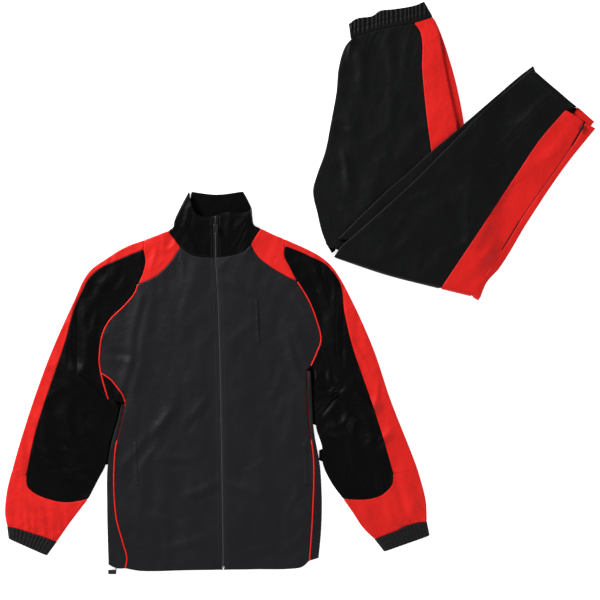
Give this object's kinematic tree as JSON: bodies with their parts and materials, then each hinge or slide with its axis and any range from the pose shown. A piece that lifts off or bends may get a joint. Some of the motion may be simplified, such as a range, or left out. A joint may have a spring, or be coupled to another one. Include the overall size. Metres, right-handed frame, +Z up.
{
  "type": "tracksuit",
  "caption": "Tracksuit laid out flat: a zipped stand-collar jacket, and trousers folded lengthwise and across the knee, black with red stripes and piping.",
  "frame": {"origin": "middle of the laid-out suit, on the surface it lies on", "axes": "+Z up from the surface, out of the garments' fronts; +Y from the jacket's hem towards its collar; +X towards the wearer's left"},
  "size_m": [1.2367, 1.1993, 0.0242],
  "materials": {
    "black cloth": "smooth woven polyester with a slight sheen",
    "red cloth": "smooth woven polyester with a slight sheen",
    "red piping": "corded satin piping",
    "black plastic": "moulded, semi-matt",
    "bright metal": "bright plated zinc"
  },
  "bodies": {
    "suit": {"right_front": "black cloth", "left_front": "black cloth", "right_side_panel": "black cloth", "left_side_panel": "black cloth", "right_underarm_gusset": "black cloth", "right_shoulder_insert": "red cloth", "left_shoulder_insert": "red cloth", "right_sleeve_front": "black cloth", "left_sleeve_front": "black cloth", "right_sleeve_stripe": "red cloth", "left_sleeve_stripe": "red cloth", "back_panel": "black cloth", "right_sleeve_back": "black cloth", "left_sleeve_back": "black cloth", "right_collar_front": "black cloth", "left_collar_front": "black cloth", "collar_back": "black cloth", "right_armhole_piping": "red piping", "right_gusset_piping": "red piping", "left_armhole_piping": "red piping", "right_side_piping": "red piping", "left_side_piping": "red piping", "front_zip": "black cloth", "front_zip_slider": "bright metal", "front_zip_stop": "bright metal", "right_pocket_welt": "black cloth", "left_pocket_welt": "black cloth", "chest_pocket_welt": "black cloth", "hem_cord_stopper": "black plastic", "hem_cord": "black cloth", "right_cuff": "black cloth", "left_cuff": "black cloth", "thigh_layers": "black cloth", "thigh_panel": "black cloth", "thigh_stripe": "red cloth", "under_thigh_stripe": "red cloth", "waistband": "black cloth", "lower_leg_layers": "black cloth", "lower_leg_panel": "black cloth", "leg_stripe": "red cloth", "under_leg_edge": "black cloth", "under_leg_hem": "red cloth", "ankle_zip": "black cloth", "ankle_zip_slider": "bright metal"},
    "front_tab": {"front_zip_pull_tab": "bright metal"},
    "ankle_tab": {"ankle_zip_pull_tab": "bright metal"}
  },
  "joints": [
    {"name": "front_tab_swing", "type": "hinge", "parent": "suit", "child": "front_tab", "pos_m": [-0.1763, 0.12706, 0.02173], "axis": [-1, 0, 0], "range_deg": [0, 165]},
    {"name": "ankle_tab_swing", "type": "hinge", "parent": "suit", "child": "ankle_tab", "pos_m": [0.5912, 0.3374, 0.0143], "axis": [-0.891, 0.454, 0], "range_deg": [0, 165]}
  ]
}
